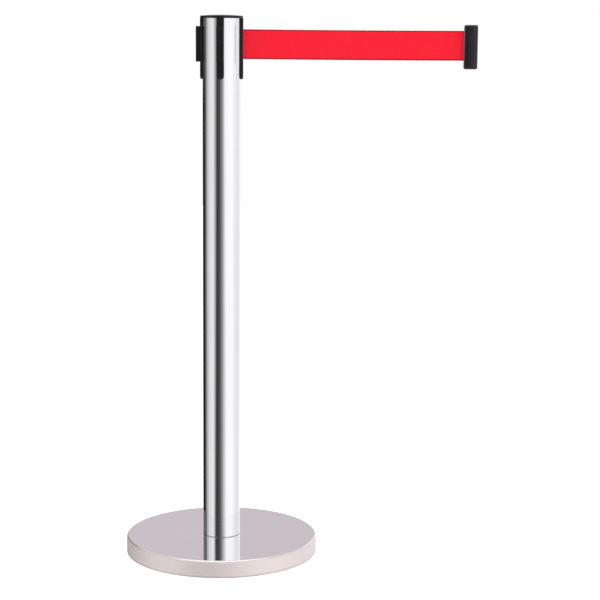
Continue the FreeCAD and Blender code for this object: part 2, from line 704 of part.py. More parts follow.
def make_cassette_floor():
    """Plate under the cassette that carries the lower bush."""
    body = new_body("cassette_floor")
    section = new_sketch(body, "floor_section", "XY_Plane", "%s - Dim.floor_sheet" % RIB_END)
    draw_circle(section, SHELL_R)
    draw_circle(section, "Dim.bush_d / 2 + Dim.pin_fit")
    for x, y in screw_places():
        draw_circle(section, "Dim.screw_d / 2 + Dim.screw_hole_gap", x, y)
    pad(body, "floor_plate", section, "Dim.floor_sheet")
    return body


def make_cassette_lid():
    """Plate above the spool that carries the upper bush."""
    return washer("cassette_lid", "%s - Dim.seat_gap" % SEAT_R, "Dim.bush_d / 2 + Dim.pin_fit",
                  "Dim.lid_sheet", LID_SEAT)


def make_bush(label, body_z, flange_z):
    """A flanged bush for the spool shaft, as thick as the plate that it is pressed into."""
    barrel = cylinder(label + "_barrel", "Dim.bush_d / 2", "Dim.lid_sheet", z=body_z)
    flange = cylinder(label + "_flange", "Dim.bush_flange_d / 2", "Dim.bush_flange", z=flange_z)
    solid = fuse(label + "_solid", barrel, flange)
    bore = cylinder(label + "_bore", "%s + Dim.shaft_fit" % SHAFT_R,
                    "Dim.lid_sheet + Dim.bush_flange", z=min(body_z, flange_z, key=size))
    return subtract(label, solid, bore)


def make_head_cap():
    """Domed cap with a ring that holds the lid down and four sunk screw places."""
    body = new_body("head_cap")
    sketch = new_sketch(body, "cap_profile", "XZ_Plane")
    rim_z = "(Dim.overall_height - Dim.cap_dome)"
    ring_out = "(%s - Dim.seat_gap)" % SEAT_R
    dome_r = "((%s ^ 2 + Dim.cap_dome ^ 2) / (2 * Dim.cap_dome))" % CAP_R
    draw_outline(sketch, [
        ("0", CAP_SEAT),
        ("%s - Dim.cap_ring" % ring_out, CAP_SEAT),
        ("%s - Dim.cap_ring" % ring_out, LID_TOP),
        (ring_out, LID_TOP),
        (ring_out, CAP_SEAT),
        (CAP_R, CAP_SEAT),
        (CAP_R, rim_z),
        ("0", "Dim.overall_height", dome_r),
    ])
    turned = revolve(body, "cap_turned", sketch)
    radius = size(CAP_R)
    rim = edges_where(
        turned,
        lambda box: box.ZLength < NEAR
        and abs(box.ZMin - size(rim_z)) < NEAR
        and box.XMax > radius - NEAR
    )
    round_edges(body, "cap_rim", turned, rim, "Dim.rib_round")
    through = new_sketch(body, "cap_holes", "XY_Plane", CAP_SEAT)
    sunk = new_sketch(body, "cap_counterbores", "XY_Plane",
                      "Dim.overall_height - Dim.counterbore_depth - Dim.cap_dome / 2")
    for x, y in screw_places():
        draw_circle(through, "Dim.screw_d / 2 + Dim.screw_hole_gap", x, y)
        draw_circle(sunk, "Dim.screw_head_d / 2 + Dim.screw_hole_gap", x, y)
    cut(body, "cap_holes_cut", through, "Dim.cap_height", backwards=True)
    cut(body, "cap_counterbores_cut", sunk, "Dim.cap_height", backwards=True)
    return body


def make_screws(label, head_z, shank_z):
    """Four pan-head screws with a socket in the face that shows."""
    screws = []
    for number, (x, y) in enumerate(screw_places(), start=1):
        name = "%s_%d" % (label, number)
        head = cylinder(name + "_head", "Dim.screw_head_d / 2", "Dim.screw_head_height",
                        x, y, head_z)
        shank = cylinder(name + "_shank", "Dim.screw_d / 2", "Dim.screw_reach", x, y, shank_z)
        socket = doc.addObject("Part::Prism", name + "_socket")
        socket.Polygon = 6
        bind(socket, Circumradius="Dim.screw_socket_d / 2", Height="Dim.screw_socket_depth")
        upright = size(head_z) > size(shank_z)
        rise = " + Dim.screw_head_height - Dim.screw_socket_depth" if upright else ""
        place(socket, x, y, head_z + rise)
        screws.append(subtract(name, fuse(name + "_blank", head, shank), socket))
    return group(label, screws)


# Spool


def make_spool_shaft():
    """Shaft with a collar on the lower bush and a groove for the retaining ring."""
    body = new_body("spool_shaft")
    sketch = new_sketch(body, "shaft_profile", "XZ_Plane")
    bottom = "(%s - Dim.floor_sheet)" % RIB_END
    collar = "(%s + Dim.bush_flange + Dim.thrust_gap)" % RIB_END
    groove = "(%s + Dim.thrust_gap)" % LID_TOP
    groove_r = "(%s - Dim.ring_groove)" % SHAFT_R
    groove_top = "(%s + Dim.ring_sheet + 2 * Dim.ring_fit)" % groove
    top = "(%s + Dim.ring_groove * 2)" % groove_top
    draw_outline(sketch, [
        ("0", bottom),
        (SHAFT_R, bottom),
        (SHAFT_R, collar),
        ("Dim.collar_d / 2", collar),
        ("Dim.collar_d / 2", "%s + Dim.collar_height" % collar),
        (SHAFT_R, "%s + Dim.collar_height" % collar),
        (SHAFT_R, groove),
        (groove_r, groove),
        (groove_r, groove_top),
        (SHAFT_R, groove_top),
        (SHAFT_R, top),
        ("0", top),
    ])
    revolve(body, "shaft_turned", sketch)
    hole = new_sketch(body, "shaft_cross_hole", "YZ_Plane")
    draw_circle(hole, "Dim.cross_pin_d / 2 + Dim.pin_fit", "0",
                "%s + Dim.cross_pin_rise" % SPOOL_BOTTOM)
    cut(body, "shaft_cross_hole_cut", hole, "2 * Dim.shaft_d", both_ways=True)
    slit = new_sketch(body, "shaft_slit", "XY_Plane", spring_bottom())
    half = "(Dim.spring_sheet / 2 + Dim.pin_fit)"
    reach = "Dim.shaft_d"
    draw_outline(slit, [("0", "-" + half), (reach, "-" + half), (reach, half), ("0", half)])
    cut(body, "shaft_slit_cut", slit, spring_height(), backwards=True)
    return body


def make_retaining_ring():
    """Ring in the shaft's groove, above the lid."""
    return washer("retaining_ring", "Dim.ring_d / 2",
                  "%s - Dim.ring_groove + Dim.ring_fit" % SHAFT_R, "Dim.ring_sheet",
                  "%s + Dim.thrust_gap + Dim.ring_fit" % LID_TOP)


def make_spool_core():
    """Hub and lower flange in one moulding, with a spigot for the upper flange."""
    body = new_body("spool_core")
    sketch = new_sketch(body, "core_profile", "XZ_Plane")
    bore = "(%s + Dim.pin_fit)" % SHAFT_R
    flange_top = "(%s + Dim.flange_sheet)" % SPOOL_BOTTOM
    spigot_r = "(%s - Dim.spigot_step)" % HUB_R
    spigot_top = "(%s + Dim.flange_sheet)" % GUIDED_TOP
    draw_outline(sketch, [
        (bore, SPOOL_BOTTOM),
        (FLANGE_R, SPOOL_BOTTOM),
        (FLANGE_R, flange_top),
        (HUB_R, flange_top),
        (HUB_R, GUIDED_TOP),
        (spigot_r, GUIDED_TOP),
        (spigot_r, spigot_top),
        (bore, spigot_top),
    ])
    revolve(body, "core_turned", sketch)
    hole = new_sketch(body, "core_cross_hole", "YZ_Plane")
    draw_circle(hole, "Dim.cross_pin_d / 2 + Dim.pin_fit", "0",
                "%s + Dim.cross_pin_rise" % SPOOL_BOTTOM)
    cut(body, "core_cross_hole_cut", hole, "Dim.cross_pin_reach + 2 * Dim.pin_fit",
        both_ways=True)
    return body


def make_upper_flange():
    """Loose flange that closes the spool above the belt."""
    return washer("upper_flange", FLANGE_R,
                  "%s - Dim.spigot_step + Dim.pin_fit" % HUB_R, "Dim.flange_sheet", GUIDED_TOP)


def make_cross_pin():
    """Pin that turns the spool with its shaft."""
    pin = doc.addObject("Part::Cylinder", "cross_pin")
    bind(pin, Radius="Dim.cross_pin_d / 2", Height="Dim.cross_pin_reach")
    pin.Placement.Rotation = FreeCAD.Rotation(FreeCAD.Vector(0, 1, 0), 90)
    place(pin, x="-Dim.cross_pin_reach / 2", z="%s + Dim.cross_pin_rise" % SPOOL_BOTTOM)
    return pin


def make_belt_roll():
    """The belt still wound on the spool, as one ring."""
    return washer("belt_roll", ROLL_R, "%s + Dim.roll_gap" % HUB_R, "Dim.belt_height",
                  BELT_BOTTOM)


# Spring


def spring_bottom():
    """The level of the spring's lower edge."""
    return "(%s + Dim.spring_side_gap)" % BARREL_INSIDE_Z


def spring_height():
    """The width of the spring's strip, from the barrel's floor to its lid less the gaps."""
    return "(%s - %s - 2 * Dim.spring_side_gap)" % (BARREL_RIM, BARREL_INSIDE_Z)


def make_spring_barrel():
    """Cup round the power spring, seated in the lower end of the shell."""
    body = new_body("spring_barrel")
    sketch = new_sketch(body, "barrel_profile", "XZ_Plane")
    draw_outline(sketch, [
        ("Dim.bush_flange_d / 2 + Dim.seat_gap", RIB_END),
        (BARREL_R, RIB_END),
        (BARREL_R, BARREL_RIM),
        (SPRING_ROOM_R, BARREL_RIM),
        (SPRING_ROOM_R, BARREL_INSIDE_Z),
        ("Dim.bush_flange_d / 2 + Dim.seat_gap", BARREL_INSIDE_Z),
    ])
    revolve(body, "barrel_turned", sketch)
    return body


def make_barrel_lid():
    """Plate between the spring and the spool."""
    return washer("barrel_lid", BARREL_R, "%s + Dim.shell_gap" % SHAFT_R,
                  "Dim.barrel_lid_sheet", BARREL_RIM)


def half_turn(radius, centre_x, upper):
    """A half circle about a point on the X axis, from its right end round to its left or back."""
    side = 1 if upper else -1
    return Part.Arc(
        FreeCAD.Vector(centre_x + radius * side, 0, 0),
        FreeCAD.Vector(centre_x, radius * side, 0),
        FreeCAD.Vector(centre_x - radius * side, 0, 0),
    ).toShape()


def spring_arcs(offset):
    """One side of the strip: half circles whose centres swap sides, so each grows on the last."""
    step = size(SPRING_PITCH) / 2
    radius = size("Dim.spring_start") + offset
    arcs = []
    centre_x = 0.0
    for number in range(int(round(2 * size("Dim.spring_turns")))):
        upper = number % 2 == 0
        arcs.append(half_turn(radius, centre_x, upper))
        centre_x += step if upper else -step
        radius += step
    return arcs


def make_power_spring():
    """Spiral strip with a tab in the shaft's slit and an eye round the anchor pin."""
    strip = size("Dim.spring_sheet")
    inner = spring_arcs(0)
    outer = spring_arcs(strip)
    caps = [
        Part.LineSegment(inner[end].Vertexes[end].Point, outer[end].Vertexes[end].Point).toShape()
        for end in (0, -1)
    ]
    wire = Part.Wire(Part.__sortEdges__(inner + outer + caps))
    low = size(spring_bottom())
    tall = size(spring_height())
    up = FreeCAD.Vector(0, 0, tall)
    spiral = Part.Face(wire).extrude(up)
    start = size("Dim.spring_start")
    tab = Part.makeBox(start, strip, tall, FreeCAD.Vector(strip, -strip / 2, 0))
    eye_centre = FreeCAD.Vector(size(ANCHOR_X), 0, 0)
    eye = Part.makeCylinder(size(EYE_R), tall, eye_centre)
    hole = Part.makeCylinder(size(EYE_R) - strip, tall, eye_centre)
    solid = spiral.fuse([tab, eye]).cut(hole)
    spring = doc.addObject("Part::Feature", "power_spring")
    spring.Label = "power_spring"
    spring.Shape = solid.removeSplitter()
    spring.Placement.Base = FreeCAD.Vector(0, 0, low)
    return spring


def make_spring_anchor():
    """Pin that holds the spring's outer end, upright between the barrel's floor and lid."""
    pin = doc.addObject("Part::Cylinder", "spring_anchor")
    bind(pin, Radius="Dim.anchor_d / 2", Height="%s - %s" % (BARREL_RIM, BARREL_INSIDE_Z))
    place(pin, x=ANCHOR_X, z=BARREL_INSIDE_Z)
    return pin


# Belt and clip


def make_belt_run():
    """The belt from the roll, round a guide pin, out to its loop round the pin in the clip."""
    sheet_half = size("Dim.belt_sheet") / 2
    tall = size("Dim.belt_height")
    guide = FreeCAD.Vector(size(GUIDE_X), -size(GUIDE_Y), 0)
    bend_r = size(GUIDE_Y)
    # The slanted stretch is the inner common tangent of the roll and the bend at the pin.
    leave_r = size(ROLL_R) + size("Dim.roll_gap") + sheet_half
    spread = math.hypot(guide.x, guide.y)
    turn = math.atan2(guide.y, guide.x) - math.acos((leave_r + bend_r) / spread)
    outward = FreeCAD.Vector(math.cos(turn), math.sin(turn), 0)
    leaves = outward * leave_r
    meets = guide - outward * bend_r
    along = meets - leaves
    slant = Part.makeBox(along.Length, 2 * sheet_half, tall, FreeCAD.Vector(0, -sheet_half, 0))
    slant.rotate(FreeCAD.Vector(0, 0, 0), FreeCAD.Vector(0, 0, 1),
                 math.degrees(math.atan2(along.y, along.x)))
    slant.translate(leaves)
    start = FreeCAD.Vector(guide.x, 0, 0)
    middle = (start - guide + meets - guide).normalize()
    bend_faces = []
    for radius in (bend_r - sheet_half, bend_r + sheet_half):
        ends = [guide + (point - guide).normalize() * radius for point in (meets, start)]
        bend_faces.append((ends, Part.Arc(ends[0], guide + middle * radius, ends[1]).toShape()))
    (inner_ends, inner_arc), (outer_ends, outer_arc) = bend_faces
    sides = [
        Part.LineSegment(inner_ends[end], outer_ends[end]).toShape() for end in (0, 1)
    ]
    bend = Part.Face(Part.Wire(Part.__sortEdges__([inner_arc, outer_arc] + sides)))
    bend = bend.extrude(FreeCAD.Vector(0, 0, tall))
    loop_centre = FreeCAD.Vector(size(PIN_X), 0, 0)
    loop_out = size(LOOP_OUT_R)
    loop_in = loop_out - 2 * sheet_half
    run = Part.makeBox(loop_centre.x - loop_in - sheet_half - start.x, 2 * sheet_half, tall,
                       FreeCAD.Vector(start.x, -sheet_half, 0))
    loop = Part.makeCylinder(loop_out, tall, loop_centre)
    loop = loop.cut(Part.makeCylinder(loop_in, tall, loop_centre))
    belt = doc.addObject("Part::Feature", "belt_run")
    belt.Label = "belt_run"
    belt.Shape = slant.fuse([bend, run, loop]).removeSplitter()
    belt.Placement.Base = FreeCAD.Vector(0, 0, size(BELT_BOTTOM))
    return belt


def make_clip_body():
    """Clip with a T channel for a rail on its far side and a bore for the belt's loop."""
    body = new_body("clip_body")
    channel_half = "(Dim.rib_width / 2 + Dim.rail_side_gap)"
    half = "(%s + Dim.clip_wall)" % channel_half
    # Each broad face is an arc whose rise over the clip's length is clip_bulge.
    bow_r = "((Dim.clip_length / 2) ^ 2 + Dim.clip_bulge ^ 2) / (2 * Dim.clip_bulge)"
    section = new_sketch(body, "clip_section", "XY_Plane", CLIP_BOTTOM)
    draw_outline(section, [
        (CLIP_NEAR, "-" + half),
        (CLIP_FAR, "-" + half, bow_r),
        (CLIP_FAR, half),
        (CLIP_NEAR, half, bow_r),
    ])
    block = pad(body, "clip_block", section, "%s - %s" % (CLIP_TOP, CLIP_BOTTOM))
    upright = edges_where(block, lambda box: box.XLength < NEAR and box.YLength < NEAR)
    softened = round_edges(body, "clip_corners", block, upright, "Dim.clip_corner")
    ends = edges_where(softened, lambda box: box.ZLength < NEAR)
    round_edges(body, "clip_bevels", softened, ends, "Dim.clip_bevel", "Chamfer")
    channel_out = "(%s - Dim.clip_lip)" % CLIP_FAR
    channel_in = "(%s - Dim.rail_bar_depth - Dim.rail_depth_gap)" % channel_out
    mouth_half = "(Dim.rail_neck_width / 2 + Dim.rail_side_gap)"
    past = "(%s + Dim.clip_lip)" % CLIP_FAR
    channel = new_sketch(body, "clip_channel", "XY_Plane", CLIP_BOTTOM)
    draw_outline(channel, [
        (channel_in, "-" + channel_half),
        (channel_out, "-" + channel_half),
        (channel_out, "-" + mouth_half),
        (past, "-" + mouth_half),
        (past, mouth_half),
        (channel_out, mouth_half),
        (channel_out, channel_half),
        (channel_in, channel_half),
    ])
    cut(body, "clip_channel_cut", channel,
        "%s - %s - Dim.clip_roof" % (CLIP_TOP, CLIP_BOTTOM), backwards=True)
    bore = new_sketch(body, "clip_bore", "XY_Plane", CLIP_BOTTOM)
    draw_circle(bore, CLIP_BORE_R, PIN_X)
    cut(body, "clip_bore_cut", bore, "%s - %s" % (GUIDED_TOP, CLIP_BOTTOM), backwards=True)
    mouth = new_sketch(body, "clip_mouth", "XZ_Plane")
    before = "(%s - Dim.clip_lip)" % CLIP_NEAR
    draw_outline(mouth, [
        (before, GUIDED_BOTTOM),
        (PIN_X, GUIDED_BOTTOM),
        (PIN_X, GUIDED_TOP),
        (before, GUIDED_TOP),
    ])
    cut(body, "clip_mouth_cut", mouth, "Dim.belt_sheet + 2 * Dim.mouth_gap", both_ways=True)
    return body


def make_belt_pin():
    """Pin inside the belt's loop, standing on the clip's plug."""
    low = "(%s + Dim.clip_plug_height)" % CLIP_BOTTOM
    return labelled("belt_pin", cylinder("belt_pin", "Dim.belt_pin_d / 2",
                                         "%s - %s" % (BELT_TOP, low), PIN_X, "0", low))


def make_clip_plug():
    """Plug pressed into the clip's bore from below."""
    return labelled("clip_plug", cylinder("clip_plug", "%s - Dim.pin_fit" % CLIP_BORE_R,
                                          "Dim.clip_plug_height", PIN_X, "0", CLIP_BOTTOM))


def labelled(label, thing):
    """Give an object the label that names its node."""
    thing.Label = label
    return thing


def make_all():
    """Every sub-part, from the floor up."""
    yield make_floor_ring()
    yield make_base_weight()
    yield make_base_cover()
    yield washer("clamp_washer", "Dim.clamp_washer_d / 2", BOLT_HOLE_R,
                 "Dim.clamp_washer_sheet", "%s - Dim.clamp_washer_sheet" % RECESS_TOP)
    yield washer("lock_washer", "Dim.lock_washer_d / 2", BOLT_HOLE_R, "Dim.lock_washer_sheet",
                 BOLT_SEAT)
    yield make_base_bolt()
    yield make_tube_plug()
    yield make_post_tube()
    yield make_cassette_floor()
    yield make_screws("floor_screws",
                      "%s - Dim.floor_sheet - Dim.screw_head_height" % RIB_END,
                      "%s - Dim.floor_sheet" % RIB_END)
    yield make_bush("lower_bush", "%s - Dim.floor_sheet" % RIB_END, RIB_END)
    yield make_spring_barrel()
    yield make_barrel_lid()
    yield make_spring_anchor()
    yield make_power_spring()
    yield make_cassette_shell()
    yield make_spool_shaft()
    yield make_spool_core()
    yield make_upper_flange()
    yield make_cross_pin()
    yield make_belt_roll()
    yield make_cassette_lid()
    yield make_bush("upper_bush", LID_SEAT, "%s - Dim.bush_flange" % LID_SEAT)
    yield make_retaining_ring()
    yield make_head_cap()
    yield make_screws("cap_screws",
                      "Dim.overall_height - Dim.counterbore_depth - Dim.cap_dome / 2",
                      "%s - Dim.screw_reach + Dim.cap_height / 2" % CAP_SEAT)
    yield make_belt_outlet()
    yield make_guide_pins()
    yield make_receiver("receiver_back", 90)
    yield make_receiver("receiver_left", 180)
    yield make_receiver("receiver_front", 270)
    yield make_belt_run()
    yield make_clip_body()
    yield make_belt_pin()
    yield make_clip_plug()


nodes = list(make_all())
doc.recompute()
for item in doc.Objects:
    if "Invalid" in item.State or "Error" in item.State:
        raise RuntimeError("%s failed: %s" % (item.Name, item.State))
for node in nodes:
    if node.Shape.isNull() or not node.Shape.isValid() or node.Shape.Volume <= 0:
        raise RuntimeError("%s has no sound shape" % node.Label)
for node in nodes:
    node.Shape.exportStep("parts/%s.step" % node.Label)
print("%d nodes written" % len(nodes))
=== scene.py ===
import json
import math

import bpy
from mathutils import Matrix, Vector


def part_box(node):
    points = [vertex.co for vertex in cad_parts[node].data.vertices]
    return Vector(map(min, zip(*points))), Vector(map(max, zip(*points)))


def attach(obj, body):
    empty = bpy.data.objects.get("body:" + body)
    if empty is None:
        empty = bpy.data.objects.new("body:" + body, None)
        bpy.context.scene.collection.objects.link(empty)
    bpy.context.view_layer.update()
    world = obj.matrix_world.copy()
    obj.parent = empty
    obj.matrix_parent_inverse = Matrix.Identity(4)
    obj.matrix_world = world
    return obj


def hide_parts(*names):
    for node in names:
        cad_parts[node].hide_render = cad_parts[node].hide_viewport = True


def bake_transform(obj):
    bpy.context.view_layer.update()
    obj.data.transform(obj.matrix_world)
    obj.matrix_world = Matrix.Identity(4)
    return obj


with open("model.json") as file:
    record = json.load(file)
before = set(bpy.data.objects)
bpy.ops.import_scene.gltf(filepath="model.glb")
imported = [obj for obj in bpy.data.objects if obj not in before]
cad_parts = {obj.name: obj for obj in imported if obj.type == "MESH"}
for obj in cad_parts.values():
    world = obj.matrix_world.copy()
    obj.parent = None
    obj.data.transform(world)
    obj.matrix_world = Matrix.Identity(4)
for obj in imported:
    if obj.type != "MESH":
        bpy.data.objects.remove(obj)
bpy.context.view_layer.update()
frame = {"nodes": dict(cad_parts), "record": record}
nodes = frame["nodes"]

MM = 0.001
MICRON = 0.000001


# ---------------------------------------------------------------- materials

# The span in which most of a noise texture's values lie.
NOISE_SPAN = (0.3, 0.7)

# Heights over which the tube's scuffs fade out, above the floor, and the painted shade line at its foot,
# above the cover, where the tube stands in the base.
SCUFFS_END = (30 * MM, 100 * MM)
JOINT_SHADE_ENDS = (0.6 * MM, 1.8 * MM)

# Where the base's polished top turns into its satin rim, from the axis and above the floor, and the
# heights over which the painted shade along its hem ends.
RIM_FROM_AXIS = (159.2 * MM, 161.2 * MM)
RIM_TOP = (28.0 * MM, 29.8 * MM)
HEM_SHADE_ENDS = (2.6 * MM, 4.8 * MM)

# The belt's thread pitches along its length and up its width, and how far in from its edges the
# selvedge starts and is complete.
PICK_PITCH = 0.75 * MM
END_PITCH = 0.55 * MM
SELVEDGE_IN = (2.4 * MM, 1.9 * MM)

# From one moulded ring to the next under the rubber.
RUBBER_PITCH = 2.2 * MM


class Graph:
    """Adds nodes to a tree. Wherever a plain value can go, another node's output can go as well."""

    def __init__(self, tree):
        self.tree = tree

    def feed(self, socket, value):
        if isinstance(value, bpy.types.NodeSocket):
            self.tree.links.new(value, socket)
        else:
            socket.default_value = (*value, 1) if socket.type == "RGBA" else value

    def node(self, kind, *values, **settings):
        """A new node, with the values on its first sockets."""
        made = self.tree.nodes.new(kind)
        for name, value in settings.items():
            setattr(made, name, value)
        for socket, value in zip(made.inputs, values):
            self.feed(socket, value)
        return made

    def math(self, operation, *values):
        return self.node("ShaderNodeMath", *values, operation=operation).outputs[0]

    def plus(self, first, second):
        return self.math("ADD", first, second)

    def times(self, first, second):
        return self.math("MULTIPLY", first, second)

    def apart(self, first, second):
        """How far one value is from another."""
        return self.math("ABSOLUTE", self.math("SUBTRACT", first, second))

    def between(self, value, low, high, to_low=0.0, to_high=1.0, curve="LINEAR"):
        """to_low where the value is below low, to_high where it is above high, and a slope between."""
        made = self.node("ShaderNodeMapRange", value, low, high, to_low, to_high, interpolation_type=curve)
        return made.outputs[0]

    def mix(self, share, first, second, how="MIX"):
        """Colours mixed by a share, from the first at 0 to the second at 1."""
        made = self.node("ShaderNodeMix", share, data_type="RGBA", blend_type=how)
        self.feed(made.inputs[6], first)
        self.feed(made.inputs[7], second)
        return made.outputs[2]

    def mix_values(self, share, first, second):
        made = self.node("ShaderNodeMix", share, data_type="FLOAT")
        self.feed(made.inputs[2], first)
        self.feed(made.inputs[3], second)
        return made.outputs[0]


class Look(Graph):
    """A material under construction: one principled shader and the nodes that feed it."""

    def __init__(self, name, colour, metallic, roughness, **sockets):
        self.material = bpy.data.materials.new(name)
        self.material.use_nodes = True
        super().__init__(self.material.node_tree)
        self.shader = self.tree.nodes["Principled BSDF"]
        self.place = self.node("ShaderNodeTexCoord").outputs["Object"]
        self.relief = None
        self.shade(Base_Color=colour, Metallic=metallic, Roughness=roughness, **sockets)

    def shade(self, **sockets):
        """Set or link the shader's sockets. In their names an underscore stands for a space."""
        for name, value in sockets.items():
            self.feed(self.shader.inputs[name.replace("_", " ")], value)

    def axes(self):
        return tuple(self.node("ShaderNodeSeparateXYZ", self.place).outputs)

    def radius(self):
        x, y = self.axes()[:2]
        return self.math("SQRT", self.plus(self.times(x, x), self.times(y, y)))

    def turn(self):
        x, y = self.axes()[:2]
        return self.math("ARCTAN2", y, x)

    def noise(self, scale, detail, rough=0.55, place=None):
        made = self.node("ShaderNodeTexNoise", place or self.place)
        made.inputs["Scale"].default_value = scale
        made.inputs["Detail"].default_value = detail
        made.inputs["Roughness"].default_value = rough
        return made.outputs["Fac"]

    def joined_noise(self, x, y, z):
        """Noise over a place that is put together from three values."""
        return self.noise(1, 4, 0.65, self.node("ShaderNodeCombineXYZ", x, y, z).outputs[0])

    def streaks(self, scales, detail, rough):
        """Noise with a scale of its own along each axis."""
        made = self.node("ShaderNodeMapping", self.place)
        made.inputs["Scale"].default_value = scales
        return self.noise(1, detail, rough, made.outputs[0])

    def cells(self, scale):
        made = self.node("ShaderNodeTexVoronoi", self.place)
        made.inputs["Scale"].default_value = scale
        return made.outputs["Distance"]

    def spread(self, noise, to_low=0.0, to_high=1.0):
        return self.between(noise, *NOISE_SPAN, to_low, to_high)

    def tones(self, noise, first, second):
        """Two colours that take turns with a noise."""
        return self.mix(self.spread(noise), first, second)

    def bump(self, height, depth, strength):
        """Add relief: height runs from 0 to 1 and stands for depth in metres."""
        made = self.node("ShaderNodeBump")
        made.inputs["Strength"].default_value = strength
        made.inputs["Distance"].default_value = depth
        self.feed(made.inputs["Height"], height)
        if self.relief is not None:
            self.feed(made.inputs["Normal"], self.relief)
        self.relief = made.outputs[0]
        self.shade(Normal=self.relief)


def polished_tube():
    """Polished stainless with fine scratches, scuffs near the floor and a painted shade line at its foot."""
    look = Look("tube_polished_steel", (0.86, 0.86, 0.865), metallic=1.0, roughness=0.06)
    cloud = look.noise(9, 4)
    scratch = look.streaks((2600, 2600, 26), 5, 0.7)
    ring = look.streaks((60, 60, 5200), 4, 0.6)
    scuff = look.between(look.streaks((420, 420, 900), 6, 0.75), 0.60, 0.72)
    height = look.axes()[2]
    low = look.between(height, *SCUFFS_END, 1.0, 0.0)
    cover_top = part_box("base_cover")[1].z
    # Painted shade: a dark band just above the cover, where the tube stands in the base.
    joint_shade = look.between(height, *(cover_top + end for end in JOINT_SHADE_ENDS), 0.52, 0.0)
    clean = look.mix(look.between(cloud, 0.3, 0.75), (0.970, 0.970, 0.975), (0.935, 0.935, 0.945))
    look.shade(Base_Color=look.mix(joint_shade, clean, (0.10, 0.10, 0.10)))
    scuffed = look.times(look.times(low, scuff), 0.12)
    gloss = look.plus(look.between(cloud, 0.25, 0.8, 0.028, 0.055), scuffed)
    look.shade(Roughness=look.plus(gloss, look.between(scratch, 0.62, 0.8, 0.0, 0.05)))
    look.bump(scratch, 0.6 * MICRON, 0.5)
    look.bump(ring, 0.4 * MICRON, 0.5)
    return look.material


def polished_base():
    """Spun stainless: the top is polished in rings, the rim is satin and its hem is darkened with painted
    shade.
    """
    look = Look("base_spun_steel", (0.80, 0.755, 0.775), metallic=1.0, roughness=0.08)
    radius, turn = look.radius(), look.turn()
    height = look.axes()[2]
    side = look.times(look.between(radius, *RIM_FROM_AXIS), look.between(height, *RIM_TOP, 1.0, 0.0))
    rings = look.joined_noise(look.times(radius, 5200), look.times(turn, 3.0), 0.0)
    lines = look.joined_noise(look.times(height, 4200), look.times(turn, 9.0), 3.0)
    cloud = look.noise(14, 4)
    smear = look.streaks((34, 18, 34), 3, 0.6)
    top = look.tones(cloud, (0.970, 0.955, 0.965), (0.950, 0.935, 0.945))
    rim = look.tones(lines, (0.800, 0.722, 0.705), (0.760, 0.682, 0.665))
    # Painted shade: the foot of the rim is darkened, where the rim meets the floor.
    hem_shade = look.between(height, *HEM_SHADE_ENDS, 0.5, 0.0)
    look.shade(Base_Color=look.mix(hem_shade, look.mix(side, top, rim), (0.34, 0.29, 0.28)))
    grooves = look.between(rings, 0.6, 0.8, 0.0, 0.03)
    polish = look.plus(look.between(smear, 0.35, 0.75, 0.035, 0.075), grooves)
    satin = look.between(lines, 0.3, 0.75, 0.46, 0.58)
    look.shade(Roughness=look.mix_values(side, polish, satin))
    look.shade(Metallic=look.between(side, 0.0, 1.0, 1.0, 0.55))
    look.bump(rings, 0.8 * MICRON, 0.5)
    look.bump(look.times(lines, side), 4 * MICRON, 0.5)
    return look.material


def moulded(name, dark, light, roughness, grain, depth, shine=0.4):
    """Moulded plastic with a fine eroded surface, faint flow marks and a few pale scuffs."""
    look = Look(name, dark, metallic=0.0, roughness=sum(roughness) / 2, Specular_IOR_Level=shine)
    flow = look.streaks((70, 70, 22), 4, 0.55)
    scuff = look.between(look.streaks((260, 700, 1300), 6, 0.8), 0.67, 0.76)
    pale = tuple(c * 1.9 + 0.012 for c in light)
    look.shade(Base_Color=look.mix(look.times(scuff, 0.35), look.tones(flow, dark, light), pale))
    look.shade(Roughness=look.plus(look.spread(flow, *roughness), look.times(scuff, 0.12)))
    look.bump(look.noise(grain, 3, 0.6), depth, 0.6)
    look.bump(look.cells(grain * 0.6), depth * 0.7, 0.4)
    return look.material


def webbing():
    """Woven polyester tape: a plain weave, firmer and darker at its two edges."""
    look = Look("belt_woven_polyester", (0.85, 0.02, 0.04), metallic=0.0, roughness=0.62,
                Specular_IOR_Level=0.12, Sheen_Weight=0.02, Sheen_Roughness=0.4)
    along, up = look.axes()[::2]
    low, high = (corner.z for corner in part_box("belt_run"))
    half = (high - low) / 2
    edge = look.between(look.apart(up, (low + high) / 2), *(half - inset for inset in SELVEDGE_IN))
    picks = look.math("SINE", look.times(along, math.pi / PICK_PITCH))
    ends = look.math("SINE", look.times(up, math.pi / END_PITCH))
    over = look.math("GREATER_THAN", look.times(picks, ends), 0.0)
    warp = look.times(look.math("ABSOLUTE", ends), over)
    weft = look.times(look.math("ABSOLUTE", picks), look.math("SUBTRACT", 1.0, over))
    weave = look.plus(warp, look.times(weft, 0.85))
    fibre = look.streaks((1800, 1800, 9000), 4, 0.7)
    slub = look.streaks((900, 900, 90), 3, 0.6)
    cloud = look.noise(26, 3)
    thread = look.mix(look.between(weave, 0.0, 0.8), (0.61, 0.004, 0.017), (0.84, 0.012, 0.031))
    worn = look.mix(look.times(look.between(slub, 0.35, 0.75), 0.35), thread, (0.885, 0.022, 0.036))
    shaded = look.mix(look.spread(cloud, 0.0, 0.16), worn, (0.72, 0.006, 0.018))
    rows = look.between(look.math("ABSOLUTE", picks), 0.2, 0.9)
    selvedge = look.mix(rows, (0.27, 0.003, 0.014), (0.31, 0.004, 0.018))
    look.shade(Base_Color=look.mix(look.times(edge, 0.85), shaded, selvedge))
    look.shade(Roughness=look.spread(fibre, 0.52, 0.70))
    look.bump(weave, 90 * MICRON, 0.8)
    look.bump(fibre, 30 * MICRON, 0.5)
    return look.material


